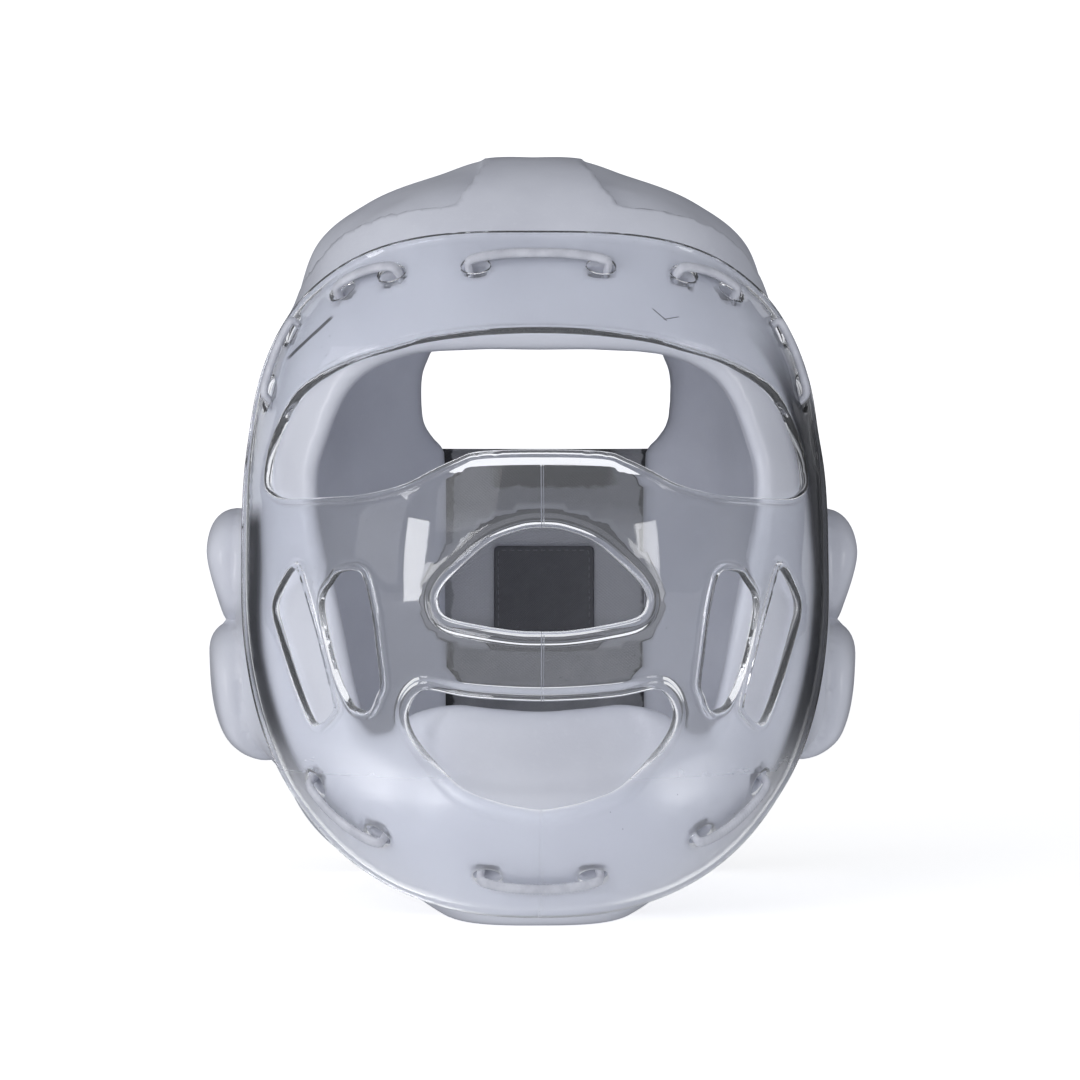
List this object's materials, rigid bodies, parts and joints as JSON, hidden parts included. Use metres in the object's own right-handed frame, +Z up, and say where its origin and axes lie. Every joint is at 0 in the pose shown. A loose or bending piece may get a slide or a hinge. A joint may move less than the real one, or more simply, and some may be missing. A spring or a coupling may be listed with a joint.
{
  "type": "sparring headgear with face shield",
  "caption": "Padded one-piece sparring helmet with ear guards, an open rear with a soft fastening panel, and a clear domed face shield laced to its face ring.",
  "frame": {"origin": "middle of the footprint on the floor, between the chin pad and the nape that it stands on", "axes": "+Z up, the face looks towards -Y, +X towards the wearer's left"},
  "size_m": [0.237, 0.26, 0.268],
  "materials": {
    "coated_foam": "dipped vinyl coat on closed-cell foam, light grey with a soft gloss",
    "clear_shield": "clear moulded polycarbonate, glossy, with fine dust and scratches",
    "soft_cord": "soft milky oval cord with a faint rib",
    "panel_fabric": "dark grey brushed fastening fabric",
    "patch_fabric": "bare woven patch, near black"
  },
  "bodies": {
    "root": {"foam_shell": "coated_foam", "face_shield": "clear_shield", "cord_top": "soft_cord", "cord_brow_left": "soft_cord", "cord_brow_right": "soft_cord", "cord_temple_left": "soft_cord", "cord_temple_right": "soft_cord", "cord_jaw_left": "soft_cord", "cord_jaw_right": "soft_cord", "cord_chin": "soft_cord", "closure_panel": "panel_fabric", "label_patch": "patch_fabric"}
  },
  "joints": []
}
